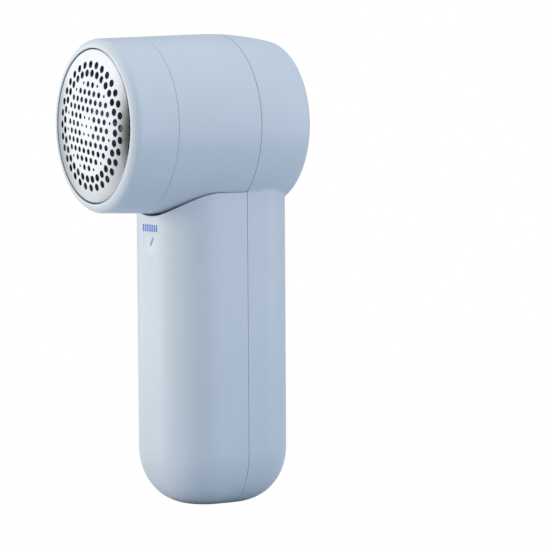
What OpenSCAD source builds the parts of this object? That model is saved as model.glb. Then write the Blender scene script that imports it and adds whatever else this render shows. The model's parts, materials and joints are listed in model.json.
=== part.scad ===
// Cordless pistol-shaped fabric shaver: a round cutting head across the top of an upright handle.
// Millimetres. +Z is up the handle and +Y is towards the back; the foil faces -Y.
// The origin is the centre of the handle's flat base.

/* [Head] */
// Height of the head's axis above the flat base
head_z = 124.5; // [122:0.5:130]
// Radius of the head at its front rim
head_front_r = 28; // [27.6:0.1:28.4]
// Radius of the head where the barrel meets the rear shell
head_r = 29.45; // [29:0.05:29.5]
// Distance of the front rim ahead of the handle's centre line
rim_y = 43.6; // [43:0.1:45]
// Distance of the flat back behind the handle's centre line
back_y = 22.9; // [22.5:0.1:24]
// Radius of the rounding round the front rim
rim_round = 3; // [2:0.1:3.2]
// Radius of the rounding round the back edge of the head
back_round = 3.2; // [2:0.1:4]
// Length of the screw-on foil cap
cap_len = 15.85; // [15.5:0.05:16.5]

/* [Handle] */
// Width of the handle across X
handle_w = 40; // [39:0.5:42]
// Radius of the handle's upright corners
handle_corner = 15; // [12:0.5:16]
// Height of the rounded lower end
toe_h = 18.8; // [16:0.2:20]
// How far the rounded lower end draws in at the base
toe_inset = 13.85; // [12:0.05:14]
// Position of the plane where the front and rear shells meet
parting_y = 2.05; // [1.5:0.05:2.5]
// Wall thickness of the shells
wall = 2; // [1.8:0.1:2.2]
// Gap between the removable barrel and the handle's saddle
saddle_gap = 0.3; // [0.2:0.05:0.6]

/* [Foil and blades] */
// How far the middle of the foil stands ahead of the front rim
foil_proud = 2.2; // [1.8:0.1:2.6]
// Radius of the foil's domed face
foil_dome_r = 120; // [110:1:130]
// Sheet thickness of the foil
foil_t = 0.3; // [0.2:0.05:0.4]
// Diameter of the holes in the two outer rings
ring_hole_d = 2.26; // [1.8:0.02:2.4]
// Diameter of the holes in the middle of the foil
field_hole_d = 1.76; // [1.2:0.02:2]
// Diameter of the small holes at the edge of the middle field
small_hole_d = 0.9; // [0.6:0.05:1.2]
// Number of blades on the hub
blade_count = 6; // [3:1:8]
// Radius swept by the blade tips
blade_r = 20.8; // [18:0.1:21]
// Clearance between the blades and the foil
blade_gap = 0.15; // [0.1:0.01:0.3]

/* [Controls] */
// Width of the power button
button_w = 8.4; // [7:0.1:9]
// Height of the power button
button_h = 7; // [7:0.1:7.2]
// Height of the button's centre above the base
button_z = 85.4; // [85:0.1:85.6]
// Number of bars in the level light
bar_count = 8; // [4:1:8]
// Centre-to-centre distance of the level light's bars
bar_pitch = 1.25; // [1:0.05:1.25]

/* [Power] */
// Diameter of the rechargeable cell
cell_d = 18.3; // [16:0.1:18.3]
// Length of the rechargeable cell
cell_len = 35; // [30:0.5:38]
// Radius of the motor can
motor_r = 12.2; // [11:0.1:12.2]
// Radius of the motor shaft
shaft_r = 1; // [0.75:0.05:1]

/* [Hidden] */

blue = "#b0becf";
steel = "#d6d8da";
dark = "#2b2e33";
copper = "#b87a4b";
cream = "#e6e2d6";
board_green = "#2f6b4a";
gold = "#c9a94e";
fine = 96;
eps = 0.05;
handle_d = 2 * back_y;

// Outer profile of the head: a shallow cone from the rim, then a gentle crown to the back edge
crown_y = -1.3;
crown_r = 105;
barrel_y = -rim_y + cap_len;
seam_gap = 0.15;
fillet_steps = 8;
function cone_r(y) =
    head_front_r + (head_r - head_front_r) * (y + rim_y - rim_round) / (crown_y + rim_y - rim_round);
function head_out_r(y) = y < crown_y ? cone_r(y) : head_r - pow(y - crown_y, 2) / (2 * crown_r);
function rim_arc() = [
    for (i = [0 : fillet_steps])
        let (a = 90 * i / fillet_steps)
        [head_front_r - rim_round + rim_round * sin(a), -rim_y + rim_round - rim_round * cos(a)]
];
back_fillet_y = back_y - back_round;
function back_arc() = [
    for (i = [0 : fillet_steps])
        let (a = 90 * i / fillet_steps)
        [head_out_r(back_fillet_y) - back_round + back_round * cos(a), back_fillet_y + back_round * sin(a)]
];
crown_steps = 6;
function crown_line(y0, y1) = [
    for (i = [0 : crown_steps])
        let (y = y0 + (y1 - y0) * i / crown_steps)
        [head_out_r(y), y]
];

// Rounded lower end of the handle: how far the outline draws in at a height z
toe_power = 2.1;
toe_steps = 9;
function toe_in(z, base, reach) =
    z >= toe_h ? 0 : reach * (1 - pow(1 - pow((toe_h - z) / (toe_h - base), toe_power), 1 / toe_power));
corner_gap = 0.3;
arc_steps = 8;

// Places along the head's axis, all as Y
foil_y = -rim_y - foil_proud;
cap_mouth_r = head_front_r - rim_round + 0.15;
foil_skirt_r = cap_mouth_r - 0.35;
foil_shoulder = 0.6;
dome_edge_r = foil_skirt_r - foil_shoulder;
cap_bore_r = 26.75;
cap_ledge_y = -39.5;
foil_flange_t = 0.4;
retainer_t = 2.6;
neck_r = 26.6;
neck_front_y = -33.5;
neck_bore_r = 24;
lug_len = 1.4;
lug_y = -31.6;
lug_depth = 0.95;
lug_turn = 20;
lug_width = 7;
bin_bore_r = 27;
bin_front_wall_y = -26.2;
spigot_r = 26.8;
spigot_front_y = -2.6;
bulk_r = 27.2;
bulk_front_y = 2.2;
bulk_back_y = 4.6;
seal_y = -1.1;
seal_r = 0.6;
nose_r = 14.2;
nose_y = -13.2;
can_front_y = -11.7;
can_back_y = 13.5;
end_cap_t = 2.4;
bulk_screw_r = 20;
bulk_screw_angles = [90, 210, 330];
motor_screw_r = 8.5;
boss_r = 3;
screw_r = 1.05;

// Rotor
hex_r = 4;
hex_front_y = -41.25;
hex_back_y = -29.4;
collar_r = 7.5;
collar_y = -27.4;
sleeve_back_y = -16.5;
hub_front_y = -41.2;
hub_back_y = -35.5;
hub_r = 8.5;
arm_back_y = -37.4;
blade_t = 0.5;
blade_in_r = 6.6;
blade_back_y = -38.2;
coil_r = 5.5;
coil_wire_r = 0.35;
coil_turns = 4;

// Handle fittings
saddle_r = head_r + saddle_gap;
inner_front_y = -back_y + wall;
screw_z = [18, 74];
screw_head_y = 6;
screw_head_r = 2.6;
screw_hole_r = 2.85;
plug_len = 3.2;
button_gap = 0.15;
button_travel = 0.6;
switch_front_y = -17.9;
switch_t = 3.1;
switch_s = 6;
plunger_r = 1.7;
plunger_y = -18.5;
plunger_seat = 1.1;
board_t = 1.2;
switch_board_w = 19;
switch_board_z = [79.6, 92];
board_post_x = 7.6;
board_back_y = 0.37;
board_z = [2.6, 79];
board_w = 26;
usb_w = 8.94;
usb_h = 3.16;
usb_len = 7.4;
usb_z = 0.4;
usb_y = 2;
usb_gap = 0.3;
cell_y = 10.9;
cell_z = 29;
bar_w = 0.75;
bar_h = 2.3;
bar_z = 91.1;
lead_r = 0.75;
lead_sides = 8;

// Points of the two motor leads: x is mirrored for the second lead
lead_route = [
    [4, 19.35, 125], [4.5, 19.35, 116], [6, 18.6, 108], [8, 16, 101], [9.5, 12, 95],
    [10, 7.5, 89.5], [10, 4, 84], [10, 2.4, 79], [10, 1.4, 76]
];

// Helpers
module on_head_axis() {
    translate([0, 0, head_z]) rotate([-90, 0, 0]) children();
}
module turned(points) {
    on_head_axis() rotate_extrude($fn = fine) polygon(points);
}
// Each of the screws that hold the bulkhead to the rear shell, at y
module at_bulk_screws(y) {
    for (a = bulk_screw_angles) on_head_axis() rotate([0, 0, a]) translate([bulk_screw_r, 0, y]) children();
}
// A round bar along the head's axis from y0 to y1
module bar_y(r, y0, y1, sides = fine) {
    on_head_axis() translate([0, 0, y0]) cylinder(r = r, h = y1 - y0, $fn = sides);
}
// A round bar along Y through a point of the handle
module pin_y(x, z, r, y0, y1) {
    translate([x, y0, z]) rotate([-90, 0, 0]) cylinder(r = r, h = y1 - y0, $fn = fine / 2);
}
// Outline of a rounded rectangle at a height z, as points going round it
function plan_ring(w, d, r, z) = [
    for (k = [0 : 3])
        for (j = [0 : arc_steps])
            let (a = 90 * (k + j / arc_steps))
            [
                (k == 0 || k == 3 ? 1 : -1) * (w / 2 - r) + r * cos(a),
                (k < 2 ? 1 : -1) * (d / 2 - r) + r * sin(a),
                z
            ]
];
// Outline of the handle at a height z, with its surface drawn in by skin
function handle_ring(z, skin) =
    let (draw = toe_in(z, skin, toe_inset - skin / 4) + skin)
    let (w = handle_w - 2 * draw)
    plan_ring(w, handle_d - 2 * draw, min(handle_corner - draw / 2, w / 2 - corner_gap), z);
// A solid with the handle's plan shape, shrunk by skin all round, from its rounded toe up to top
module handle_solid(skin, top) {
    toe_heights = [for (i = [0 : toe_steps]) skin + (toe_h - skin) * (1 - cos(90 * i / toe_steps))];
    heights = concat(toe_heights, [top]);
    n = 4 * (arc_steps + 1);
    last = len(heights) - 1;
    polyhedron(
        points = [for (z = heights) for (p = handle_ring(z, skin)) p],
        faces = concat(
            [[for (j = [0 : n - 1]) j]],
            [for (i = [0 : last - 1]) for (j = [0 : n - 1])
                [i * n + j, (i + 1) * n + j, (i + 1) * n + (j + 1) % n, i * n + (j + 1) % n]],
            [[for (j = [n - 1 : -1 : 0]) last * n + j]]),
        convexity = 4);
}
// Everything on one side of the parting plane
module half_space(front) {
    size = 200;
    cut = front ? parting_y - seam_gap / 2 - size : parting_y + seam_gap / 2;
    translate([-size / 2, cut, -1]) cube([size, size, size]);
}
module pill_xz(w, h, y0, y1) {
    r = min(w, h) / 2;
    dx = w / 2 - r;
    dz = h / 2 - r;
    translate([0, y1, 0]) rotate([90, 0, 0]) linear_extrude(y1 - y0) union() {
        square([max(w - 2 * r, eps), h], center = true);
        square([w, max(h - 2 * r, eps)], center = true);
        for (s = [-1, 1]) translate([s * dx, s * dz]) circle(r = r, $fn = fine);
    }
}
module pill_xy(w, h, z0, z1) {
    r = h / 2;
    translate([0, 0, z0]) linear_extrude(z1 - z0) union() {
        square([w - h, h], center = true);
        for (s = [-1, 1]) translate([s * (w / 2 - r), 0]) circle(r = r, $fn = fine / 2);
    }
}
module usb_cut() {
    translate([0, usb_y, 0]) pill_xy(usb_w + 2 * usb_gap, usb_h + 2 * usb_gap, -1, usb_z + usb_len + 1);
}

// Handle shells
module front_shell() {
    color(blue) difference() {
        union() {
            difference() {
                intersection() {
                    handle_solid(0, head_z - 10);
                    half_space(true);
                }
                difference() {
                    handle_solid(wall, head_z - 8);
                    bar_y(saddle_r + wall, -rim_y, rim_y);
                }
            }
            for (z = screw_z) pin_y(0, z, boss_r, inner_front_y - 0.5, parting_y - seam_gap);
            for (s = [-1, 1])
                pin_y(s * board_post_x, button_z, 1.9, inner_front_y - 0.5, switch_front_y + switch_t);
        }
        bar_y(saddle_r, -rim_y, rim_y);
        for (z = screw_z) pin_y(0, z, screw_r + eps, -12, parting_y);
        for (s = [-1, 1]) pin_y(s * board_post_x, button_z, 0.8 + eps, -19.5, -14);
        translate([0, 0, button_z])
            pill_xz(button_w + 2 * button_gap, button_h + 2 * button_gap, -back_y - 1, inner_front_y + 1);
        for (i = [0 : bar_count - 1])
            translate([(i - (bar_count - 1) / 2) * bar_pitch, inner_front_y, bar_z])
                cube([bar_w + eps, 2 * wall + 2, bar_h + eps], center = true);
        usb_cut();
    }
}
module rear_shell() {
    boss_front = bulk_back_y;
    color(blue) difference() {
        union() {
            difference() {
                union() {
                    intersection() {
                        handle_solid(0, head_z - 10);
                        half_space(false);
                    }
                    turned(concat([[0, parting_y + seam_gap / 2]],
                        crown_line(parting_y + seam_gap / 2, back_fillet_y), back_arc(), [[0, back_y]]));
                }
                handle_solid(wall, head_z - 8);
                bar_y(bulk_r + 0.1, parting_y - 1, back_fillet_y - wall / 2);
                bar_y(bulk_r - back_round, parting_y - 1, back_y - wall);
            }
            for (z = screw_z) pin_y(0, z, boss_r + 1, parting_y + seam_gap, back_y - wall / 2);
            at_bulk_screws(boss_front)
                cylinder(r = boss_r, h = back_y - wall / 2 - boss_front, $fn = fine / 2);
        }
        for (z = screw_z) {
            pin_y(0, z, screw_r + 0.3, 0, back_y);
            pin_y(0, z, screw_hole_r, screw_head_y, back_y + 1);
        }
        at_bulk_screws(boss_front - 1)
            cylinder(r = screw_r + eps, h = 9, $fn = fine / 2);
        usb_cut();
    }
}
module shell_screws() {
    for (z = screw_z) color(steel) {
        pin_y(0, z, screw_r, -9, screw_head_y + 0.5);
        difference() {
            pin_y(0, z, screw_head_r, screw_head_y, screw_head_y + 1.8);
            translate([0, screw_head_y + 1.4, z]) rotate([0, 45, 0]) cube([3, 1, 0.7], center = true);
            translate([0, screw_head_y + 1.4, z]) rotate([0, 135, 0]) cube([3, 1, 0.7], center = true);
        }
    }
}
module screw_plugs() {
    for (z = screw_z) color(blue) pin_y(0, z, screw_hole_r - eps, back_y - plug_len, back_y - 0.25);
}

// Removable barrel, which holds the lint
module lint_bin() {
    rear = parting_y - seam_gap / 2;
    color(blue) difference() {
        turned(concat(
            [[neck_bore_r, neck_front_y], [neck_r, neck_front_y], [neck_r, barrel_y + seam_gap]],
            [[head_out_r(barrel_y) - 0.2, barrel_y + seam_gap / 2]],
            crown_line(barrel_y + 0.3, rear),
            [[bin_bore_r, rear], [bin_bore_r, bin_front_wall_y], [neck_bore_r, bin_front_wall_y - 1.3]]));
        turned([
            [neck_r - lug_depth - eps, lug_y - eps], [neck_r + 1, lug_y - eps],
            [neck_r + 1, lug_y + lug_len + 0.1], [neck_r - lug_depth - eps, lug_y + lug_len + 0.1]
        ]);
        for (a = [0, 120, 240]) on_head_axis() rotate([0, 0, a + lug_turn])
            translate([neck_r - lug_depth - eps, -lug_width / 2 - 0.3, neck_front_y - 1])
                cube([3, lug_width + 0.6, lug_y + 1 - neck_front_y]);
    }
}
module bin_seal() {
    color(dark) on_head_axis() translate([0, 0, seal_y]) rotate_extrude($fn = fine)
        translate([bin_bore_r - 0.1 - seal_r, 0]) circle(r = seal_r, $fn = fine / 4);
}

// Foil cap with its retaining ring and the perforated foil
module foil_cap() {
    lug_root = 0.3;
    lug_tip_r = cap_bore_r - lug_depth;
    color(blue) {
        turned(concat(
            [[cap_mouth_r, -rim_y + 0.25]],
            [for (p = rim_arc()) if (p[0] > cap_mouth_r + 0.1) p],
            [[head_out_r(barrel_y) - 0.15, barrel_y - seam_gap / 2]],
            [[cap_bore_r, barrel_y - seam_gap / 2], [cap_bore_r, cap_ledge_y]],
            [[cap_mouth_r, cap_ledge_y]]));
        for (a = [0, 120, 240]) on_head_axis() rotate([0, 0, a]) translate([0, 0, lug_y]) intersection() {
            difference() {
                cylinder(r = cap_bore_r + lug_root, h = lug_len, $fn = fine);
                translate([0, 0, -1]) cylinder(r = lug_tip_r, h = lug_len + 2, $fn = fine);
            }
            translate([lug_tip_r - 2, -lug_width / 2, -1]) cube([8, lug_width, lug_len + 2]);
        }
    }
}
module foil_retainer() {
    front = cap_ledge_y + foil_flange_t + eps;
    color(cream) turned([
        [foil_skirt_r, front], [cap_bore_r - eps, front],
        [cap_bore_r - eps, front + retainer_t], [foil_skirt_r, front + retainer_t]
    ]);
}
// Height of the foil's outer surface behind its middle at radius r
function dome_drop(r) = foil_dome_r - sqrt(foil_dome_r * foil_dome_r - r * r);
// A ball centred where the domed face of the foil has its centre
module dome_ball(r) {
    on_head_axis() translate([0, 0, foil_y + foil_dome_r]) sphere(r = r, $fn = 200);
}
module hole_at(r, a, d) {
    on_head_axis() rotate([0, 0, a]) translate([r, 0, foil_y - 1]) cylinder(r = d / 2, h = 6, $fn = 24);
}
ring_holes = 32;
ring_r = [19.75, 17];
ring_turn = 0.85;
field_pitch = 3.09;
field_turn = 6.6;
field_full_r = 13.6;
field_edge_r = 14.5;
field_rows = 5;
module foil_holes() {
    for (k = [0 : ring_holes - 1]) {
        hole_at(ring_r[0], ring_turn + 360 / ring_holes * k, ring_hole_d);
        hole_at(ring_r[1], ring_turn + 360 / ring_holes * (k + 0.5), ring_hole_d);
    }
    for (row = [-field_rows : field_rows]) {
        for (col = [-field_rows - 1 : field_rows + 1]) {
            x = (col + (abs(row) % 2) / 2) * field_pitch;
            z = row * field_pitch * sin(60);
            r = norm([x, z]);
            d = r < 0.1 || r > field_full_r || abs(r - field_pitch) < 0.2 ? small_hole_d : field_hole_d;
            if (r < field_edge_r) hole_at(r, atan2(z, x) + field_turn, d);
        }
    }
}
module shaving_foil() {
    edge_y = foil_y + dome_drop(dome_edge_r);
    skirt_y = cap_ledge_y + foil_flange_t;
    steps = 5;
    color(steel) {
        difference() {
            intersection() {
                dome_ball(foil_dome_r);
                bar_y(dome_edge_r, foil_y - 1, foil_y + 8);
            }
            dome_ball(foil_dome_r - foil_t);
            foil_holes();
        }
        turned(concat(
            [for (i = [0 : steps])
                let (a = 90 * i / steps)
                [dome_edge_r - 0.02 + (foil_shoulder + 0.02) * sin(a),
                    edge_y + foil_shoulder * (1 - cos(a))]],
            [[foil_skirt_r, skirt_y - foil_t], [cap_bore_r - 0.2, skirt_y - foil_t]],
            [[cap_bore_r - 0.2, skirt_y], [foil_skirt_r - foil_t, skirt_y]],
            [for (i = [steps : -1 : 0])
                let (a = 90 * i / steps)
                [dome_edge_r - 0.02 + (foil_shoulder + 0.02 - foil_t) * sin(a),
                    edge_y + foil_t + (foil_shoulder - foil_t / 2) * (1 - cos(a))]]));
    }
}

// Bulkhead that carries the motor and closes the back of the lint space
module motor_bulkhead() {
    groove = seal_r + eps;
    color(dark) difference() {
        turned([
            [shaft_r + 2.1, nose_y], [nose_r - 2, nose_y], [nose_r, nose_y + 3], [nose_r, bulk_front_y],
            [spigot_r - 2, bulk_front_y], [spigot_r - 2, spigot_front_y], [spigot_r, spigot_front_y],
            [spigot_r, seal_y - groove], [spigot_r - 1.15, seal_y - groove],
            [spigot_r - 1.15, seal_y + groove], [spigot_r, seal_y + groove],
            [spigot_r, bulk_front_y], [bulk_r, bulk_front_y],
            [bulk_r, bulk_back_y], [motor_r + eps, bulk_back_y], [motor_r + eps, can_front_y],
            [shaft_r + 2.1, can_front_y]
        ]);
        at_bulk_screws(bulk_front_y - 1)
            cylinder(r = screw_r + 0.3, h = 5, $fn = fine / 2);
        for (a = [0, 180]) on_head_axis() rotate([0, 0, a]) translate([motor_screw_r, 0, nose_y - 1])
            cylinder(r = screw_r + 0.15, h = 4, $fn = fine / 2);
    }
}
// A pan-head screw along +Y with its head towards the front
module screw_y(r, angle, y, shank, shank_r, head_r) {
    on_head_axis() rotate([0, 0, angle]) translate([r, 0, y]) difference() {
        union() {
            translate([0, 0, -1.3]) cylinder(r = head_r, h = 1.3, $fn = fine / 2);
            translate([0, 0, -eps]) cylinder(r = shank_r, h = shank, $fn = fine / 2);
        }
        for (turn = [0, 90])
            rotate([0, 0, turn]) translate([0, 0, -1.3]) cube([2.4, 0.5, 1.2], center = true);
    }
}
module bulkhead_screws() {
    color(steel) for (a = bulk_screw_angles) screw_y(bulk_screw_r, a, bulk_front_y - eps, 8, screw_r, 2.2);
}
module motor_screws() {
    color(steel) for (a = [0, 180]) screw_y(motor_screw_r, a, nose_y - eps, 3, screw_r - 0.05, 1.9);
}
module dust_seal() {
    color(dark) turned([
        [shaft_r + 0.1, nose_y - 1.1], [4.4, nose_y - 1.1],
        [4.4, nose_y - eps], [shaft_r + 0.1, nose_y - eps]
    ]);
}

// Motor
module motor_can() {
    boss_y = can_front_y - 1.1;
    color(steel) difference() {
        turned([
            [1.95, boss_y], [3, boss_y], [3, can_front_y], [motor_r, can_front_y], [motor_r, can_back_y],
            [motor_r - 1, can_back_y], [motor_r - 1, can_front_y + 1], [1.95, can_front_y + 1]
        ]);
        for (a = [0, 180]) on_head_axis() rotate([0, 0, a]) translate([motor_screw_r, 0, can_front_y - 1])
            cylinder(r = screw_r, h = 4, $fn = fine / 2);
    }
}
module motor_bush() {
    color(gold) turned([
        [shaft_r + 0.03, can_front_y - 1], [1.9, can_front_y - 1], [1.9, can_front_y + 1.4],
        [shaft_r + 0.03, can_front_y + 1.4]
    ]);
}
module motor_magnets() {
    color(dark) difference() {
        turned([[9, -8], [motor_r - 1 - eps, -8], [motor_r - 1 - eps, 9], [9, 9]]);
        translate([0, 0, head_z]) cube([8, 60, 60], center = true);
    }
}
module motor_end_cap() {
    color(cream) difference() {
        turned([
            [shaft_r + 0.05, can_back_y + eps], [motor_r, can_back_y + eps],
            [motor_r, can_back_y + end_cap_t], [shaft_r + 0.05, can_back_y + end_cap_t]
        ]);
        for (s = [-1, 1]) translate([s * 4, can_back_y, head_z]) cube([0.7, 8, 2.5], center = true);
    }
}
module motor_terminals() {
    color(gold) for (s = [-1, 1])
        translate([s * 4, can_back_y + 2, head_z]) cube([0.5, 6, 2.2], center = true);
}
module motor_shaft() {
    color(steel) bar_y(shaft_r, -26, can_back_y + 2);
}
module motor_armature() {
    slots = 3;
    color(steel) difference() {
        turned([[shaft_r + 0.02, -6], [8.5, -6], [8.5, 7], [shaft_r + 0.02, 7]]);
        for (k = [0 : slots - 1]) on_head_axis() rotate([0, 0, k * 360 / slots + 30])
            translate([4, -1, -20]) cube([8, 2, 40]);
    }
}
module motor_windings() {
    color(copper) for (y0 = [-8.2, 7.1]) turned([[2.6, y0], [7.6, y0], [7.6, y0 + 1.9], [2.6, y0 + 1.9]]);
}
module motor_commutator() {
    color(copper) turned([[shaft_r + 0.02, 9.2], [2.4, 9.2], [2.4, 13], [shaft_r + 0.02, 13]]);
}

// Rotating drive and sprung blade hub
module drive_sleeve() {
    color(cream) difference() {
        union() {
            bar_y(hex_r, hex_front_y, hex_back_y + eps, 6);
            bar_y(collar_r, hex_back_y, collar_y);
            bar_y(hex_r, collar_y - eps, sleeve_back_y);
        }
        bar_y(shaft_r + 0.02, -26.2, sleeve_back_y + 1);
        bar_y(shaft_r, hex_front_y - 1, -34);
    }
}
function coil_point(t) =
    [coil_r * cos(360 * coil_turns * t), coil_r * sin(360 * coil_turns * t),
        hub_back_y + 0.45 + (hex_back_y - hub_back_y - 0.9) * t];
module hub_spring() {
    rings = 60;
    sides = 8;
    points = [
        for (i = [0 : rings])
            let (t = i / rings)
            let (a = 360 * coil_turns * t)
            for (j = [0 : sides - 1])
                let (b = 360 * j / sides)
                coil_point(t) + coil_wire_r * [cos(b) * cos(a), cos(b) * sin(a), sin(b)]
    ];
    faces = concat(
        [[for (j = [sides - 1 : -1 : 0]) j]],
        [for (i = [0 : rings - 1]) for (j = [0 : sides - 1])
            [
                i * sides + j, i * sides + (j + 1) % sides,
                (i + 1) * sides + (j + 1) % sides, (i + 1) * sides + j
            ]],
        [[for (j = [0 : sides - 1]) rings * sides + j]]);
    color(steel) on_head_axis() polyhedron(points = points, faces = faces, convexity = 8);
}
module blade_hub() {
    hex_clear = 0.12;
    arm_w = 2.6;
    color(cream) difference() {
        union() {
            bar_y(hub_r, hub_front_y, arm_back_y);
            bar_y(6.4, arm_back_y - eps, hub_back_y);
            for (k = [0 : blade_count - 1]) on_head_axis() rotate([0, 0, k * 360 / blade_count])
                translate([hub_r - 1, -arm_w / 2, hub_front_y + 0.6])
                    cube([blade_r - hub_r, arm_w, arm_back_y - hub_front_y - 0.6]);
        }
        bar_y(hex_r + hex_clear, hub_front_y - 1, hub_back_y + 1, 6);
        for (k = [0 : blade_count - 1]) on_head_axis() rotate([0, 0, k * 360 / blade_count])
            translate([blade_in_r - 0.02, -blade_t / 2 - 0.02, hub_front_y - 5])
                cube([20, blade_t + 0.04, blade_back_y + 0.02 - hub_front_y + 5]);
    }
}
module shaver_blades() {
    cut_r = foil_dome_r - foil_t - blade_gap;
    color(steel) intersection() {
        for (k = [0 : blade_count - 1]) on_head_axis() rotate([0, 0, k * 360 / blade_count])
            translate([blade_in_r, -blade_t / 2, foil_y - 2])
                cube([blade_r - blade_in_r, blade_t, blade_back_y - foil_y + 2]);
        dome_ball(cut_r);
    }
}
module hub_washer() {
    color(steel) turned([
        [shaft_r + 0.1, hex_front_y - 0.65], [5.6, hex_front_y - 0.65], [5.6, hex_front_y - 0.02],
        [shaft_r + 0.1, hex_front_y - 0.02]
    ]);
}
module hub_screw() {
    color(steel) screw_y(0, 0, hex_front_y - 0.7, 6, shaft_r - 0.02, 2);
}

// Power button, level light and switch
module power_button() {
    lip = 0.65;
    color(blue) translate([0, 0, button_z]) {
        pill_xz(button_w, button_h, -back_y, inner_front_y + 0.15);
        pill_xz(button_w + 2 * lip, button_h + 2 * lip, inner_front_y + 0.1, inner_front_y + 1);
        pin_y(0, 0, 1.5, inner_front_y + 0.9, plunger_y - eps);
    }
}
module level_light() {
    back_t = 0.8;
    bar_len = wall + 0.2;
    color("#2f62c4") {
        for (i = [0 : bar_count - 1])
            translate([(i - (bar_count - 1) / 2) * bar_pitch, -back_y + bar_len / 2, bar_z])
                cube([bar_w, bar_len, bar_h], center = true);
        translate([0, -back_y + bar_len - eps + back_t / 2, bar_z])
            cube([(bar_count - 1) * bar_pitch + bar_w, back_t, bar_h], center = true);
    }
}
module tact_switch() {
    color(dark) difference() {
        translate([-switch_s / 2, switch_front_y, button_z - switch_s / 2])
            cube([switch_s, switch_t, switch_s]);
        pin_y(0, button_z, plunger_r + eps, switch_front_y - 1,
            switch_front_y + plunger_seat + button_travel + 0.2);
    }
}
module switch_plunger() {
    color(cream) pin_y(0, button_z, plunger_r, plunger_y, switch_front_y + plunger_seat);
}
module switch_board() {
    front = switch_front_y + switch_t;
    color(board_green) difference() {
        translate([-switch_board_w / 2, front + 0.02, switch_board_z[0]])
            cube([switch_board_w, board_t, switch_board_z[1] - switch_board_z[0]]);
        for (s = [-1, 1]) pin_y(s * board_post_x, button_z, 1, front - 1, front + board_t + 1);
    }
}
module switch_board_screws() {
    seat = switch_front_y + switch_t + board_t + eps;
    color(steel) for (s = [-1, 1]) {
        pin_y(s * board_post_x, button_z, 0.8, seat - 4.5, seat + eps);
        pin_y(s * board_post_x, button_z, 1.6, seat, seat + 1);
    }
}
module switch_ribbon() {
    t = 0.25;
    ribbon_x = -9.2;
    ribbon_w = 5;
    front = switch_front_y + switch_t + board_t + 0.05;
    back = board_back_y - board_t - 0.05;
    color(cream) translate([ribbon_x, 0, 0]) rotate([90, 0, 90]) linear_extrude(ribbon_w) union() {
        translate([front, 75.5]) square([t, 6.5]);
        polygon([[front, 75.5], [back - t, 65.5], [back - t, 65.5 + 2 * t], [front, 75.5 + 2 * t]]);
        translate([back - t, 61]) square([t, 5]);
    }
}

// Electronics
module control_board() {
    neck_w = 9;
    neck_z = 9.5;
    front = board_back_y - board_t;
    color(board_green) difference() {
        union() {
            translate([-board_w / 2, front, neck_z + 5]) cube([board_w, board_t, board_z[1] - neck_z - 5]);
            translate([-neck_w / 2, front, board_z[0]]) cube([neck_w, board_t, neck_z + 6 - board_z[0]]);
        }
        for (z = screw_z) pin_y(0, z, boss_r + 0.3, -4, 4);
    }
}
module charger_chip() {
    color(dark) translate([-9.5, board_back_y - board_t - 1.6, 30]) cube([5, 1.55, 4.4]);
}
module board_coil() {
    color(dark) translate([4, board_back_y - board_t - 3.05, 38]) cube([6, 3, 6]);
}
module board_capacitors() {
    color(copper) for (k = [0 : 4])
        translate([-10 + 3 * k, board_back_y - board_t - 0.95, 48]) cube([1.2, 0.9, 2]);
}
module usb_socket() {
    skin = 0.3;
    color(steel) translate([0, usb_y, 0]) difference() {
        pill_xy(usb_w, usb_h, usb_z, usb_z + usb_len);
        pill_xy(usb_w - 2 * skin, usb_h - 2 * skin, usb_z - 1, usb_z + usb_len - 0.8);
    }
}
module usb_tongue() {
    color(dark) translate([-3.35, usb_y - 0.35, usb_z + 0.9]) cube([6.7, 0.7, usb_len - 1.75]);
}
module battery_cell() {
    color("#3f7d58") translate([0, cell_y, cell_z]) cylinder(r = cell_d / 2, h = cell_len, $fn = fine);
}
module battery_cradle() {
    end_t = 1.2;
    grip = 0.15;
    front = board_back_y + 0.1;
    color(dark) difference() {
        translate([-cell_d / 2 - 1.6, front, cell_z - end_t])
            cube([cell_d + 3.2, 9, cell_len + 2 * end_t]);
        translate([0, cell_y, cell_z - 0.45])
            cylinder(r = cell_d / 2 + grip, h = cell_len + 0.9, $fn = fine);
        translate([-4, front + 4, cell_z - 5]) cube([8, 12, cell_len + 10]);
    }
}
module battery_tabs() {
    t = 0.2;
    color(steel) for (z = [cell_z - 0.05 - t, cell_z + cell_len + 0.05])
        translate([-3, board_back_y + 4.3, z]) cube([6, 9, t]);
}

// Motor leads, swept as round wires along their route
module lead(side) {
    p = [for (q = lead_route) [side * q[0], q[1], q[2]]];
    n = len(p);
    function way(i) = p[min(i + 1, n - 1)] - p[max(i - 1, 0)];
    function unit(v) = v / norm(v);
    points = [
        for (i = [0 : n - 1])
            let (d = unit(way(i)))
            let (u = unit(cross([1, 0, 0], d)))
            let (v = cross(d, u))
            for (j = [0 : lead_sides - 1])
                let (a = 360 * j / lead_sides)
                p[i] + lead_r * (cos(a) * u + sin(a) * v)
    ];
    faces = concat(
        [[for (j = [0 : lead_sides - 1]) j]],
        [for (i = [0 : n - 2]) for (j = [0 : lead_sides - 1])
            [i * lead_sides + j, (i + 1) * lead_sides + j,
                (i + 1) * lead_sides + (j + 1) % lead_sides, i * lead_sides + (j + 1) % lead_sides]],
        [[for (j = [lead_sides - 1 : -1 : 0]) (n - 1) * lead_sides + j]]);
    polyhedron(points = points, faces = faces, convexity = 6);
}
module motor_lead_red() {
    color("#b03030") lead(1);
}
module motor_lead_black() {
    color(dark) lead(-1);
}

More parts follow.
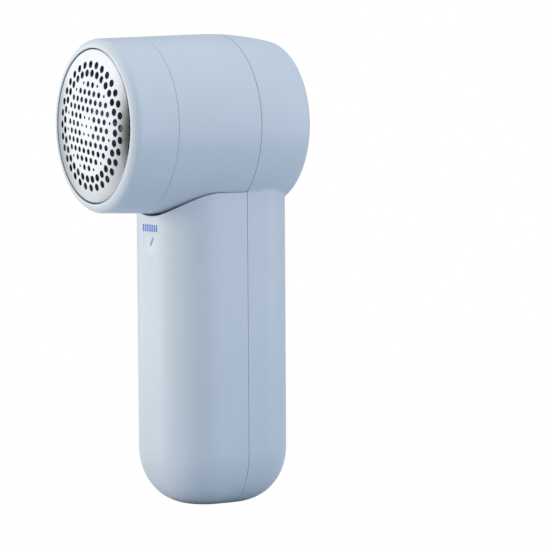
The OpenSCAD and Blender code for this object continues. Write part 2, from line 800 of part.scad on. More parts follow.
front_shell();
rear_shell();
shell_screws();
screw_plugs();
lint_bin();
bin_seal();
foil_cap();
foil_retainer();
shaving_foil();
motor_bulkhead();
bulkhead_screws();
dust_seal();
motor_can();
motor_bush();
motor_magnets();
motor_end_cap();
motor_terminals();
motor_screws();
motor_shaft();
motor_armature();
motor_windings();
motor_commutator();
drive_sleeve();
hub_spring();
hub_washer();
hub_screw();
blade_hub();
shaver_blades();
power_button();
level_light();
tact_switch();
switch_plunger();
switch_board();
switch_board_screws();
switch_ribbon();
control_board();
charger_chip();
board_coil();
board_capacitors();
usb_socket();
usb_tongue();
battery_cell();
battery_cradle();
battery_tabs();
motor_lead_red();
motor_lead_black();
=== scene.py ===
"""Looks of a pistol-shaped fabric shaver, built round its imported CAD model.

Shapes are worked out in millimetres, in the CAD model's own frame: +Z up the handle, +Y to the
back, the head's axis along Y. make() turns them into metres.
"""

import json
import math

import bmesh
import bpy
from mathutils import Matrix, Vector
from mathutils.geometry import delaunay_2d_cdt


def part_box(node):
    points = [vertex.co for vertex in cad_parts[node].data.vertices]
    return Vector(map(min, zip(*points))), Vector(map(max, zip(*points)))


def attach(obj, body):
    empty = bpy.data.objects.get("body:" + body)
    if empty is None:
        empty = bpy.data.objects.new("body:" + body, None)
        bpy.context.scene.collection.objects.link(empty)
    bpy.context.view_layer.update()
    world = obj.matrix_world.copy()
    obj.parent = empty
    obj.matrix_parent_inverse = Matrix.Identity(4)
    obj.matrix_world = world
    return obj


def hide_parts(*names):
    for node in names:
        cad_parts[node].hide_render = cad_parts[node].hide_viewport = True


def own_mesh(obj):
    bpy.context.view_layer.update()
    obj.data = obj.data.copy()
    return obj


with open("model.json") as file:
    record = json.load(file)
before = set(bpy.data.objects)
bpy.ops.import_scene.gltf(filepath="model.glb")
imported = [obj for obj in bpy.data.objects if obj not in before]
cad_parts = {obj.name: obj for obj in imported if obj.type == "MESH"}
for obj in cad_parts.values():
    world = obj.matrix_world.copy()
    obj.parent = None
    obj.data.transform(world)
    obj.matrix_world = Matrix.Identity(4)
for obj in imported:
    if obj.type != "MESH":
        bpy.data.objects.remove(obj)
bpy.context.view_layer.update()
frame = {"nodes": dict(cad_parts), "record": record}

MM = 0.001


# ---------------------------------------------------------------- places and sizes
def corners(node):
    """Lowest and highest corner of a CAD node, in millimetres."""
    low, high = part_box(node)
    return low / MM, high / MM


cap_low, cap_high = corners("foil_cap")
bin_low, bin_high = corners("lint_bin")
rear_low, rear_high = corners("rear_shell")
_, front_high = corners("front_shell")
foil_low, foil_high = corners("shaving_foil")
button_low, button_high = corners("power_button")
light_low, light_high = corners("level_light")
socket_low, socket_high = corners("usb_socket")
spring_low, spring_high = corners("hub_spring")
_, plug_high = corners("screw_plugs")
_, bulk_high = corners("motor_bulkhead")

HEAD_Z = (bin_low.z + bin_high.z) / 2
HEAD_R = bin_high.x
RIM_Y = cap_low.y
BACK_Y = rear_high.y
HANDLE_W = 2 * front_high.x
HANDLE_D = 2 * BACK_Y
WALL = 2.0

# Head outline: a shallow cone, a gentle crown and a rounded back edge
FRONT_R = 28.0
RIM_ROUND = 3.0
CROWN_Y = -1.3
CROWN_R = 105.0
CROWN_BLEND = 5.0
BACK_ROUND = 3.2
CONE_SLOPE = (HEAD_R - FRONT_R) / (CROWN_Y - RIM_Y - RIM_ROUND)

# Handle plan and toe
CORNER_R = 15.0
TOE_H = 18.8
TOE_INSET = 13.85
TOE_POWER = 2.1
CORNER_SPARE = 0.3

# Gaps between the shells, the barrel and the cap
PARTING_FRONT_Y = front_high.y
PARTING_REAR_Y = rear_low.y
SADDLE_GAP = 0.15
SADDLE_R = HEAD_R + SADDLE_GAP
EDGE = 0.14
CREASE = 0.75

# Foil
FOIL_T = 0.3
DOME_R = 120.0
DOME_EDGE_R = 24.2
MOUTH_R = 25.0
SKIRT_R = 24.8
FLANGE_R = 26.55
FLANGE_Y = foil_high.y
SHOULDER_Y = -42.6
RING_HOLES = 32
RINGS = ((19.75, 0.0), (17.0, 0.5))
RING_TURN = math.radians(0.85)
RING_HOLE_R = 1.13
FIELD_HOLE_R = 0.88
SMALL_HOLE_R = 0.45
FIELD_PITCH = 3.09
FIELD_TURN = math.radians(6.6)
FIELD_FULL_R = 13.6
FIELD_EDGE_R = 14.5
FIELD_ROWS = 5
HOLE_ROUND = 0.09

SEGMENTS = 256
HEAD_STEPS = 10


def cone_radius(y):
    return FRONT_R + CONE_SLOPE * (y - RIM_Y - RIM_ROUND)


def crown_radius(y):
    return HEAD_R - (y - CROWN_Y) ** 2 / (2 * CROWN_R)


def hermite(y, y0, y1, r0, r1, s0, s1):
    """A smooth curve from radius r0 and slope s0 at y0 to r1 and s1 at y1."""
    h = y1 - y0
    t = (y - y0) / h
    return (
        (2 * t**3 - 3 * t**2 + 1) * r0
        + (t**3 - 2 * t**2 + t) * h * s0
        + (3 * t**2 - 2 * t**3) * r1
        + (t**3 - t**2) * h * s1
    )


def body_radius(y):
    """Radius of the head's outline ahead of its rounded back edge."""
    y0, y1 = CROWN_Y - CROWN_BLEND, CROWN_Y + CROWN_BLEND
    if y <= y0:
        return cone_radius(y)
    if y >= y1:
        return crown_radius(y)
    return hermite(
        y, y0, y1, cone_radius(y0), crown_radius(y1), CONE_SLOPE, -CROWN_BLEND / CROWN_R
    )


# The back edge is an arc that starts along the crown and ends flat on the back
BACK_CENTRE_Y = BACK_Y - BACK_ROUND
BACK_TILT = math.atan((BACK_CENTRE_Y - CROWN_Y) / CROWN_R)
BACK_START_Y = BACK_CENTRE_Y + BACK_ROUND * math.sin(BACK_TILT)
BACK_CENTRE_R = crown_radius(BACK_START_Y) - BACK_ROUND * math.cos(BACK_TILT)


def head_radius(y):
    if y <= BACK_START_Y:
        return body_radius(y)
    reach = min(y - BACK_CENTRE_Y, BACK_ROUND)
    return BACK_CENTRE_R + math.sqrt(BACK_ROUND**2 - reach**2)


# ---------------------------------------------------------------- mesh helpers
def placed(name, data):
    """A new object in the scene."""
    obj = bpy.data.objects.new(name, data)
    bpy.context.collection.objects.link(obj)
    return obj


def turns(count):
    """Evenly spread angles, once round."""
    return [2 * math.pi * i / count for i in range(count)]


WELD = 1e-5


def make(name, verts, faces):
    """A mesh object from points in millimetres, with its faces looking outwards."""
    mesh = bpy.data.meshes.new(name)
    bm = bmesh.new()
    made = [bm.verts.new(Vector(v) * MM) for v in verts]
    for face in faces:
        ring = [made[i] for i in dict.fromkeys(face)]
        if len(ring) > 2:
            bm.faces.new(ring)
    bmesh.ops.remove_doubles(bm, verts=bm.verts, dist=WELD * MM)
    bmesh.ops.dissolve_degenerate(bm, edges=bm.edges, dist=WELD * MM)
    bmesh.ops.recalc_face_normals(bm, faces=bm.faces)
    bm.to_mesh(mesh)
    bm.free()
    return placed(name, mesh)


def smooth(obj, angle=35.0):
    """Smooth shading, with the edges sharper than angle left crisp."""
    for polygon in obj.data.polygons:
        polygon.use_smooth = True
    obj.data.set_sharp_from_angle(angle=math.radians(angle))


def apply_modifiers(obj):
    """Turns the object's modifiers into its mesh."""
    bpy.context.view_layer.update()
    graph = bpy.context.evaluated_depsgraph_get()
    mesh = bpy.data.meshes.new_from_object(obj.evaluated_get(graph))
    obj.modifiers.clear()
    old, obj.data = obj.data, mesh
    bpy.data.meshes.remove(old)


def combine(obj, tool, operation):
    """Adds the tool's solid to the object, or cuts it away, and removes the tool."""
    modifier = obj.modifiers.new("combine", "BOOLEAN")
    modifier.operation = operation
    modifier.solver = "EXACT"
    modifier.object = tool
    apply_modifiers(obj)
    bpy.data.objects.remove(tool)


SHARP_ANGLE = math.radians(40)


def sharp_edges(bm):
    return [e for e in bm.edges if e.is_manifold and e.calc_face_angle() > SHARP_ANGLE]


def bevel(bm, edges, width):
    """Rounds edges of bm by a width in millimetres."""
    bmesh.ops.bevel(
        bm,
        geom=edges,
        offset=width * MM,
        segments=2,
        profile=0.5,
        affect="EDGES",
        clamp_overlap=True,
    )


def round_edges(obj, chosen, width):
    """Rounds the sharp edges whose middle, in millimetres, is chosen."""
    bm = bmesh.new()
    bm.from_mesh(obj.data)
    edges = [e for e in sharp_edges(bm) if chosen((e.verts[0].co + e.verts[1].co) / (2 * MM))]
    bevel(bm, edges, width)
    bm.to_mesh(obj.data)
    bm.free()


def join_rows(faces, first, second, closed):
    """Quads between two rows of vertex numbers; a row of one is a pole."""
    if len(first) == 1 and len(second) == 1:
        return
    n = max(len(first), len(second))
    for i in range(n if closed else n - 1):
        j = (i + 1) % n
        a = [first[0]] * 2 if len(first) == 1 else [first[i], first[j]]
        b = [second[0]] * 2 if len(second) == 1 else [second[i], second[j]]
        faces.append([a[0], a[1], b[1], b[0]])


def join_all(faces, rows, closed):
    """Quads between each row of vertex numbers and the next."""
    for first, second in zip(rows, rows[1:]):
        join_rows(faces, first, second, closed)


def curve_between(start, corner, end, steps):
    """Points of the quadratic curve from start to end, along the two sides of corner."""
    points = []
    for i in range(steps + 1):
        t = i / steps
        points.append((1 - t) ** 2 * start + 2 * t * (1 - t) * corner + t**2 * end)
    return points


def rounded_outline(points, steps=4):
    """A closed outline of (radius, y, rounding), with each corner rounded by that much."""
    outline = []
    for i, (r, y, rounding) in enumerate(points):
        here = Vector((r, y))
        if rounding == 0:
            outline.append(here)
            continue
        before = Vector(points[i - 1][:2]) - here
        after = Vector(points[(i + 1) % len(points)][:2]) - here
        start = here + before.normalized() * min(rounding, 0.45 * before.length)
        end = here + after.normalized() * min(rounding, 0.45 * after.length)
        outline += curve_between(start, here, end, steps)
    return outline


def lathe(name, outline):
    """Turns a closed outline of (radius, y) round the head's axis."""
    verts, rows, faces = [], [], []
    for r, y in outline:
        ring = [(r * math.cos(a), y, HEAD_Z + r * math.sin(a)) for a in turns(SEGMENTS)]
        rows += add_rows(verts, [ring])
    join_all(faces, rows + rows[:1], True)
    return make(name, verts, faces)


def prism(name, near, far):
    """A solid between two flat outlines with as many points."""
    n = len(near)
    ends = [list(range(n)), list(range(n, 2 * n))]
    faces = list(ends)
    join_all(faces, ends, True)
    return make(name, near + far, faces)


def prism_y(name, outline, y0, y1):
    """A solid with a flat outline of (x, z), from y0 to y1."""
    near, far = ([(x, y, z) for x, z in outline] for y in (y0, y1))
    return prism(name, near, far)


def add_boss(obj, outline, y0, y1):
    combine(obj, prism_y("boss", outline, y0, y1), "UNION")


def cut_away(obj, outline, y0, y1):
    combine(obj, prism_y("cut", outline, y0, y1), "DIFFERENCE")


def circle(x, z, r, sides=64):
    return [(x + r * math.cos(a), z + r * math.sin(a)) for a in turns(sides)]


def pill(x, z, w, h, steps=16):
    """Outline of a slot with round ends, w wide and h high, centred on (x, z)."""
    r = min(w, h) / 2
    dx, dz = w / 2 - r, h / 2 - r
    points = []
    for quarter, (sx, sz) in enumerate(((1, 1), (-1, 1), (-1, -1), (1, -1))):
        for i in range(steps + 1):
            a = math.pi / 2 * (quarter + i / steps)
            points.append((x + sx * dx + r * math.cos(a), z + sz * dz + r * math.sin(a)))
    return points


def rectangle(x, z, w, h):
    return [
        (x + sx * w / 2, z + sz * h / 2) for sx, sz in ((1, 1), (-1, 1), (-1, -1), (1, -1))
    ]


# ---------------------------------------------------------------- handle shells
SIDE_COLUMNS = 4
CORNER_COLUMNS = 36
FLAT_COLUMNS = 8
TOE_ROWS = 26
WALL_ROWS = 5
BASE_ROWS = 6
SADDLE_ROWS = 10
CREASE_ROWS = 4
CUP_ARC = 144
BACK_RINGS = 8


def toe_draw(z):
    """How far the handle's outline draws in at height z."""
    if z >= TOE_H:
        return 0.0
    t = (TOE_H - z) / TOE_H
    return TOE_INSET * (1 - (1 - t**TOE_POWER) ** (1 / TOE_POWER))


def half_plan(z, parting, side):
    """Outline of half the handle at height z, from its +X edge to its -X edge."""
    draw = toe_draw(z)
    w, d = HANDLE_W - 2 * draw, HANDLE_D - 2 * draw
    r = min(CORNER_R - draw / 2, w / 2 - CORNER_SPARE)
    flat_x, corner_y = w / 2 - r, d / 2 - r
    half = []
    for i in range(SIDE_COLUMNS):
        t = i / SIDE_COLUMNS
        half.append((w / 2, parting + (side * corner_y - parting) * t))
    for i in range(CORNER_COLUMNS + 1):
        a = math.pi / 2 * i / CORNER_COLUMNS
        half.append((flat_x + r * math.cos(a), side * (corner_y + r * math.sin(a))))
    middle = [
        (flat_x * (1 - 2 * i / FLAT_COLUMNS), side * d / 2) for i in range(1, FLAT_COLUMNS)
    ]
    return half + middle + [(-x, y) for x, y in reversed(half)]


def handle_rows(parting, side, tops):
    """Rows of points up the handle, from its base's middle to the height tops[j] of column j."""
    rows = []
    base = half_plan(0.0, parting, side)
    for k in range(BASE_ROWS):
        s = k / BASE_ROWS
        rows.append([(s * x, parting + s * (y - parting), 0.0) for x, y in base])
    for k in range(TOE_ROWS + 1):
        z = TOE_H * (1 - math.cos(math.pi / 2 * k / TOE_ROWS))
        rows.append([(x, y, z) for x, y in half_plan(z, parting, side)])
    plan = half_plan(TOE_H, parting, side)
    for k in range(1, WALL_ROWS + 1):
        t = k / WALL_ROWS
        rows.append([(x, y, TOE_H + t * (top - TOE_H)) for (x, y), top in zip(plan, tops)])
    return rows


def shell(name, verts, faces):
    """A skin given its wall thickness inwards, with its flat areas made single faces."""
    obj = make(name, verts, faces)
    bm = bmesh.new()
    bm.from_mesh(obj.data)
    lowest = min(bm.faces, key=lambda f: f.calc_center_median().z)
    if lowest.normal.z > 0:
        bmesh.ops.reverse_faces(bm, faces=bm.faces)
    bmesh.ops.dissolve_limit(
        bm, angle_limit=math.radians(0.02), verts=bm.verts, edges=bm.edges
    )
    bm.to_mesh(obj.data)
    bm.free()
    solidify = obj.modifiers.new("wall", "SOLIDIFY")
    solidify.thickness = WALL * MM
    solidify.offset = -1
    solidify.use_even_offset = True
    apply_modifiers(obj)
    return obj


def add_rows(verts, points):
    """Adds rows of points to verts and returns their numbers, row by row."""
    rows = []
    for row in points:
        rows.append(list(range(len(verts), len(verts) + len(row))))
        verts.extend(row)
    return rows


def front_skin():
    parting = PARTING_FRONT_Y
    plan = half_plan(TOE_H, parting, -1)
    tops = [HEAD_Z - math.sqrt(SADDLE_R**2 - x * x) for x, y in plan]
    points = handle_rows(parting, -1, tops)
    for k in range(1, SADDLE_ROWS + 1):
        s = 1 - k / SADDLE_ROWS
        row = []
        for x, y in plan:
            z = HEAD_Z - math.sqrt(SADDLE_R**2 - (s * x) ** 2)
            row.append((s * x, parting + s * (y - parting), z))
        points.append(row)
    verts, faces = [], []
    rows = add_rows(verts, points)
    join_all(faces, rows, False)
    return shell("front_shell_moulding", verts, faces)


def on_head(y, angle):
    """A point of the head's outer surface; angle is measured from straight down towards +X."""
    r = head_radius(y)
    return Vector((r * math.sin(angle), y, HEAD_Z - r * math.cos(angle)))


def rear_skin():
    parting = PARTING_REAR_Y
    plan = half_plan(TOE_H, parting, 1)
    half = SIDE_COLUMNS + CORNER_COLUMNS + 1
    last = len(plan) - 1
    angles, reach = [], []
    for j, (x, y) in enumerate(plan):
        k = min(j, last - j, half - 1)
        corner = max(0, k - SIDE_COLUMNS) / CORNER_COLUMNS
        angles.append(math.asin(max(-1.0, min(1.0, x / head_radius(y)))))
        reach.append(CREASE * math.cos(math.pi / 2 * corner) ** 0.7 if k < half - 1 else 0.0)
    joints = [on_head(y, a) for (x, y), a in zip(plan, angles)]
    points = handle_rows(parting, 1, [p.z - f for p, f in zip(joints, reach)])
    arc_starts = []
    for (x, y), a, f in zip(plan, angles, reach):
        arc_starts.append(a + math.copysign(f / head_radius(y), a))
    creases = []
    for j, (x, y) in enumerate(plan):
        below = joints[j] - Vector((0, 0, reach[j]))
        creases.append(curve_between(below, joints[j], on_head(y, arc_starts[j]), CREASE_ROWS))
    for k in range(1, CREASE_ROWS + 1):
        points.append([tuple(creases[j][k]) for j in range(len(plan))])
    verts, faces = [], []
    rows = add_rows(verts, points)
    join_all(faces, rows, False)
    arcs = []
    for j in range(half):
        y = plan[j][1]
        start, end = arc_starts[j], 2 * math.pi + arc_starts[last - j]
        between = [
            tuple(on_head(y, start + (end - start) * k / CUP_ARC)) for k in range(1, CUP_ARC)
        ]
        arcs.append([rows[-1][j]] + add_rows(verts, [between])[0] + [rows[-1][last - j]])
    join_all(faces, arcs, False)
    rim = arcs[-1] + [rows[-1][j] for j in range(last - half, half - 1, -1)]
    centre = Vector((0, BACK_Y, HEAD_Z))
    ring = rim
    for k in range(1, BACK_RINGS + 1):
        s = 1 - k / BACK_RINGS
        inner = [tuple(centre + s * (Vector(verts[i]) - centre)) for i in rim]
        inner = add_rows(verts, [inner])[0]
        join_rows(faces, ring, inner, True)
        ring = inner
    return shell("rear_shell_moulding", verts, faces)


# THROUGH is how far a cutter runs past what it cuts, and ROOT how far a boss runs into its wall
THROUGH = 1.0
ROOT = 0.5
SCREW_Z = (18.0, 74.0)
BOSS_R = 3.0
BOSS_GAP = 0.08
PILOT_R = 1.1
PILOT_FRONT_Y = -12.0
SCREW_SPARE = 0.25
PILLAR_R = 4.0
PLUG_HOLE_R = plug_high.x + 0.05
SCREW_HEAD_Y = 6.0
POST_X = 7.6
POST_R = 1.9
POST_END_Y = -14.8
POST_PILOT_R = 0.85
POST_PILOT_Y = (-19.5, -14.0)
BULK_PILOT = 8.0
BUTTON_GAP = 0.03
BULK_SCREWS = ((0.0, -20.0), (-17.32, 10.0), (17.32, 10.0))
INNER_FRONT_Y = -BACK_Y + WALL
BUTTON_Z = (button_low.z + button_high.z) / 2
BUTTON_W, BUTTON_H = 8.4, 7.0
BAR_COUNT = 8
BAR_PITCH = 1.25
BAR_W, BAR_H = 0.75, 2.3
BAR_Z = (light_low.z + light_high.z) / 2
BAR_GAP = 0.05
USB_Y = (socket_low.y + socket_high.y) / 2
USB_W, USB_H = socket_high.x - socket_low.x, socket_high.y - socket_low.y
USB_GAP = 0.3
USB_DEPTH = 9.0


def bar_x(i):
    return (i - (BAR_COUNT - 1) / 2) * BAR_PITCH


def inlet_cut():
    """The opening for the charging socket, from below."""
    outline = pill(0, USB_Y, USB_W + 2 * USB_GAP, USB_H + 2 * USB_GAP)
    near, far = ([(x, y, z) for x, y in outline] for z in (-THROUGH, USB_DEPTH))
    return prism("cut", near, far)


# How close to a surface an edge's middle lies when the edge belongs to it
NEAR = 0.02
NEAR_SADDLE = 0.03


def build_front_shell():
    obj = front_skin()
    root_y = INNER_FRONT_Y - ROOT
    for z in SCREW_Z:
        add_boss(obj, circle(0, z, BOSS_R), root_y, PARTING_FRONT_Y - BOSS_GAP)
        cut_away(obj, circle(0, z, PILOT_R), PILOT_FRONT_Y, PARTING_FRONT_Y + THROUGH)
    for s in (-1, 1):
        add_boss(obj, circle(s * POST_X, BUTTON_Z, POST_R), root_y, POST_END_Y)
        cut_away(obj, circle(s * POST_X, BUTTON_Z, POST_PILOT_R), *POST_PILOT_Y)
    openings = [pill(0, BUTTON_Z, BUTTON_W + 2 * BUTTON_GAP, BUTTON_H + 2 * BUTTON_GAP)]
    for i in range(BAR_COUNT):
        openings.append(rectangle(bar_x(i), BAR_Z, BAR_W + BAR_GAP, BAR_H + BAR_GAP))
    for opening in openings:
        cut_away(obj, opening, -BACK_Y - THROUGH, INNER_FRONT_Y + THROUGH)
    combine(obj, inlet_cut(), "DIFFERENCE")

    def outside(p):
        at_saddle = abs(math.hypot(p.x, p.z - HEAD_Z) - SADDLE_R) < NEAR_SADDLE
        return at_saddle or p.y > PARTING_FRONT_Y - NEAR or p.z < NEAR

    round_edges(obj, outside, EDGE)
    return obj


def build_rear_shell():
    obj = rear_skin()
    inner_y = BACK_Y - WALL / 2
    for z in SCREW_Z:
        add_boss(obj, circle(0, z, PILLAR_R), PARTING_REAR_Y + BOSS_GAP, inner_y)
        cut_away(obj, circle(0, z, PILOT_R + SCREW_SPARE), 0, BACK_Y)
        cut_away(obj, circle(0, z, PLUG_HOLE_R), SCREW_HEAD_Y, BACK_Y + THROUGH)
    for x, z in BULK_SCREWS:
        add_boss(obj, circle(x, HEAD_Z + z, BOSS_R), bulk_high.y, inner_y)
        start, end = bulk_high.y - THROUGH, bulk_high.y + BULK_PILOT
        cut_away(obj, circle(x, HEAD_Z + z, PILOT_R), start, end)
    combine(obj, inlet_cut(), "DIFFERENCE")

    def outside(p):
        return p.y < PARTING_REAR_Y + NEAR or p.y > BACK_Y - NEAR or p.z < NEAR

    round_edges(obj, outside, EDGE)
    return obj


# ---------------------------------------------------------------- head
NECK_R = 26.6
NECK_BORE_R = 24.0
BIN_BORE_R = 27.0
BIN_WALL_Y = -26.2
BIN_STEP = 1.3
LUG_Y = -31.6
LUG_LEN = 1.4
LUG_DEPTH = 0.95
LUG_WIDTH = 7.0
LUG_PLAY = 0.05
LUG_ROOT = 0.3
LUG_TURN = 20.0
LUG_ANGLES = (0, 120, 240)
SLOT_MIDDLE_R = NECK_R + 0.75
SLOT_REACH = 0.8
SLOT_WIDTH = LUG_WIDTH + 0.6
CAP_BORE_R = 26.75
CAP_LEDGE_Y = -39.5
CAP_BACK_Y = cap_high.y
SEAM = 0.07
SEAM_EDGE = 0.1
BIN_FRONT_Y = CAP_BACK_Y + SEAM


def outline_between(y0, y1, steps=HEAD_STEPS):
    """The head's outline from y0 to y1, without rounding."""
    return [
        (head_radius(y0 + (y1 - y0) * i / steps), y0 + (y1 - y0) * i / steps, 0)
        for i in range(steps + 1)
    ]


def rounded_ends(points, width):
    """Rounds the first and last corner of an open stretch of outline."""
    first, last = points[0], points[-1]
    return [(first[0], first[1], width)] + points[1:-1] + [(last[0], last[1], width)]


def build_lint_bin():
    groove_y = LUG_Y + LUG_LEN + 2 * LUG_PLAY
    groove_r = NECK_R - LUG_DEPTH - LUG_PLAY
    outline = [
        (NECK_BORE_R, bin_low.y, 0.3),
        (NECK_R, bin_low.y, 0.4),
        (NECK_R, LUG_Y - LUG_PLAY, 0),
        (groove_r, LUG_Y - LUG_PLAY, 0),
        (groove_r, groove_y, 0),
        (NECK_R, groove_y, 0),
        (NECK_R, BIN_FRONT_Y, 0),
    ]
    outline += rounded_ends(outline_between(BIN_FRONT_Y, bin_high.y), SEAM_EDGE)
    outline += [
        (BIN_BORE_R, bin_high.y, 0.4),
        (BIN_BORE_R, BIN_WALL_Y, 0.5),
        (NECK_BORE_R, BIN_WALL_Y - BIN_STEP, 0.5),
    ]
    obj = lathe("lint_bin_barrel", rounded_outline(outline))
    for angle in LUG_ANGLES:
        a = math.radians(angle + LUG_TURN)
        far, near = SLOT_REACH, -SLOT_REACH - LUG_DEPTH
        slot = []
        for u, v in ((far, 0.5), (near, 0.5), (near, -0.5), (far, -0.5)):
            r, across = SLOT_MIDDLE_R + u, SLOT_WIDTH * v
            x = r * math.cos(a) - across * math.sin(a)
            slot.append((x, HEAD_Z - r * math.sin(a) - across * math.cos(a)))
        cut_away(obj, slot, bin_low.y - THROUGH, LUG_Y + 1)
    return obj


def arc_block(name, r0, r1, y0, y1, angle, width, steps=10):
    """A block that follows the head's curve, as wide as width at its inner radius."""
    half = math.asin(width / 2 / r0)
    sweep = [-math.radians(angle) - half + 2 * half * i / steps for i in range(steps + 1)]
    outline = [(r1 * math.cos(a), HEAD_Z + r1 * math.sin(a)) for a in sweep]
    outline += [(r0 * math.cos(a), HEAD_Z + r0 * math.sin(a)) for a in reversed(sweep)]
    return prism_y(name, outline, y0, y1)


def build_foil_cap():
    rim = []
    steps = 10
    for i in range(1, steps + 1):
        a = math.pi / 2 * i / steps
        r = FRONT_R - RIM_ROUND + RIM_ROUND * math.sin(a)
        if r > MOUTH_R + 0.1:
            rim.append((r, RIM_Y + RIM_ROUND * (1 - math.cos(a)), 0))
    outline = [(MOUTH_R, RIM_Y + 0.12, 0.16)] + rim
    side = outline_between(RIM_Y + RIM_ROUND, CAP_BACK_Y, 6)[1:]
    side[-1] = (side[-1][0], side[-1][1], SEAM_EDGE)
    outline += side
    outline += [
        (CAP_BORE_R, CAP_BACK_Y, 0.3),
        (CAP_BORE_R, CAP_LEDGE_Y, 0.2),
        (MOUTH_R, CAP_LEDGE_Y, 0.2),
    ]
    obj = lathe("foil_cap_ring", rounded_outline(outline))
    tip_r, root_r = CAP_BORE_R - LUG_DEPTH, CAP_BORE_R + LUG_ROOT
    for angle in LUG_ANGLES:
        lug = arc_block("lug", tip_r, root_r, LUG_Y, LUG_Y + LUG_LEN, angle, LUG_WIDTH)
        combine(obj, lug, "UNION")
    return obj


def foil_holes():
    """Centres (u, v) and radii of the foil's holes, seen along the head's axis."""
    holes = []
    for ring_r, phase in RINGS:
        for k in range(RING_HOLES):
            a = RING_TURN + 2 * math.pi * (k + phase) / RING_HOLES
            holes.append((ring_r * math.cos(a), ring_r * math.sin(a), RING_HOLE_R))
    for row in range(-FIELD_ROWS, FIELD_ROWS + 1):
        for col in range(-FIELD_ROWS - 1, FIELD_ROWS + 2):
            u = (col + (abs(row) % 2) / 2) * FIELD_PITCH
            v = row * FIELD_PITCH * math.sin(math.pi / 3)
            r = math.hypot(u, v)
            if r >= FIELD_EDGE_R:
                continue
            small = r < 0.1 or r > FIELD_FULL_R or abs(r - FIELD_PITCH) < 0.2
            a = math.atan2(v, u) + FIELD_TURN
            hole_r = SMALL_HOLE_R if small else FIELD_HOLE_R
            holes.append((r * math.cos(a), r * math.sin(a), hole_r))
    return holes


# The dome's triangles are filled in from a lattice of points, clear of the holes and the edge
FOIL_SEGMENTS = 192
HOLE_SIDES = 24
FILL_PITCH = 1.3
FILL_CLEAR = 0.45
FILL_EDGE = 0.5
FLANGE_BEND = 0.25


def foil_plan(holes):
    """The dome seen flat: its points, its triangles, its edge and the loop round each hole."""
    flat, edges, loops = [], [], []

    def add_loop(u, v, r, sides):
        start = len(flat)
        flat.extend(Vector(p) for p in circle(u, v, r, sides))
        edges.extend((start + i, start + (i + 1) % sides) for i in range(sides))
        return list(range(start, start + sides))

    outer = add_loop(0, 0, DOME_EDGE_R, FOIL_SEGMENTS)
    for u, v, r in holes:
        loops.append(add_loop(u, v, r + HOLE_ROUND, HOLE_SIDES))
    rows = int(DOME_EDGE_R / FILL_PITCH) + 1
    for i in range(-rows, rows + 1):
        for j in range(-rows, rows + 1):
            p = Vector(((j + (i % 2) / 2) * FILL_PITCH, i * FILL_PITCH * math.sin(math.pi / 3)))
            clear = all((p - Vector(h[:2])).length > h[2] + FILL_CLEAR for h in holes)
            if clear and p.length < DOME_EDGE_R - FILL_EDGE:
                flat.append(p)
    points, _, triangles, _, _, _ = delaunay_2d_cdt(flat, edges, [], 0, 1e-5)
    hole_of = {i: number for number, loop in enumerate(loops) for i in loop}
    kept = []
    for triangle in triangles:
        owners = {hole_of.get(i) for i in triangle}
        if len(owners) > 1 or None in owners:
            kept.append(list(triangle))
    return points, kept, outer, loops


def on_dome(p, depth):
    """The place of flat point p on the dome, depth behind its outer face."""
    drop = DOME_R - math.sqrt(DOME_R**2 - p.length_squared)
    return (p.x, foil_low.y + drop + depth, HEAD_Z - p.y)


def foil_side():
    """Outline (radius, y) from the dome's edge down the outside to the flange, and back inside."""
    edge_y = on_dome(Vector((DOME_EDGE_R, 0)), 0)[1]
    slope = DOME_EDGE_R / math.sqrt(DOME_R**2 - DOME_EDGE_R**2)
    start = Vector((DOME_EDGE_R, edge_y))
    corner = Vector((SKIRT_R, edge_y + slope * (SKIRT_R - DOME_EDGE_R)))
    side = curve_between(start, corner, Vector((SKIRT_R, SHOULDER_Y)), 14)[1:]
    flange = FLANGE_Y - FOIL_T
    before, bend = Vector((SKIRT_R, flange - FLANGE_BEND)), Vector((SKIRT_R, flange))
    side += curve_between(before, bend, Vector((SKIRT_R + FLANGE_BEND, flange)), 3)
    side += [Vector((FLANGE_R, flange)), Vector((FLANGE_R, FLANGE_Y)), Vector((SKIRT_R, FLANGE_Y))]
    inner_corner = Vector((SKIRT_R - FOIL_T, corner.y + FOIL_T))
    side.append(Vector((SKIRT_R - FOIL_T, FLANGE_Y - FOIL_T)))
    inner_start = Vector((DOME_EDGE_R, edge_y + FOIL_T))
    inner_end = Vector((SKIRT_R - FOIL_T, SHOULDER_Y + FOIL_T))
    return side + curve_between(inner_end, inner_corner, inner_start, 8)[:-1]


def build_foil():
    """The perforated dome, its rounded shoulder and the skirt that the cap holds."""
    holes = foil_holes()
    points, kept, outer, loops = foil_plan(holes)
    verts = [on_dome(p, 0) for p in points] + [on_dome(p, FOIL_T) for p in points]
    faces = kept + [[i + len(points) for i in reversed(t)] for t in kept]
    for loop, (u, v, r) in zip(loops, holes):
        rings = [loop]
        rim = [Vector(p) for p in circle(u, v, r, HOLE_SIDES)]
        for depth in (HOLE_ROUND, FOIL_T):
            rings += add_rows(verts, [[on_dome(p, depth) for p in rim]])
        rings.append([i + len(points) for i in loop])
        join_all(faces, rings, True)

    rows = [outer]
    for r, y in foil_side():
        ring = [(r * math.cos(a), y, HEAD_Z - r * math.sin(a)) for a in turns(FOIL_SEGMENTS)]
        rows += add_rows(verts, [ring])
    rows.append([i + len(points) for i in outer])
    join_all(faces, rows, True)
    return make("shaving_foil_sheet", verts, faces)


# ---------------------------------------------------------------- small parts
BUTTON_STEPS = 24
BUTTON_DISH = 0.04
BUTTON_SKIRT = 1.9
BUTTON_LIP = 0.65
FLANGE_GAP = 0.12
FLANGE_BACK_Y = INNER_FRONT_Y + 1
STEM_R = 1.5


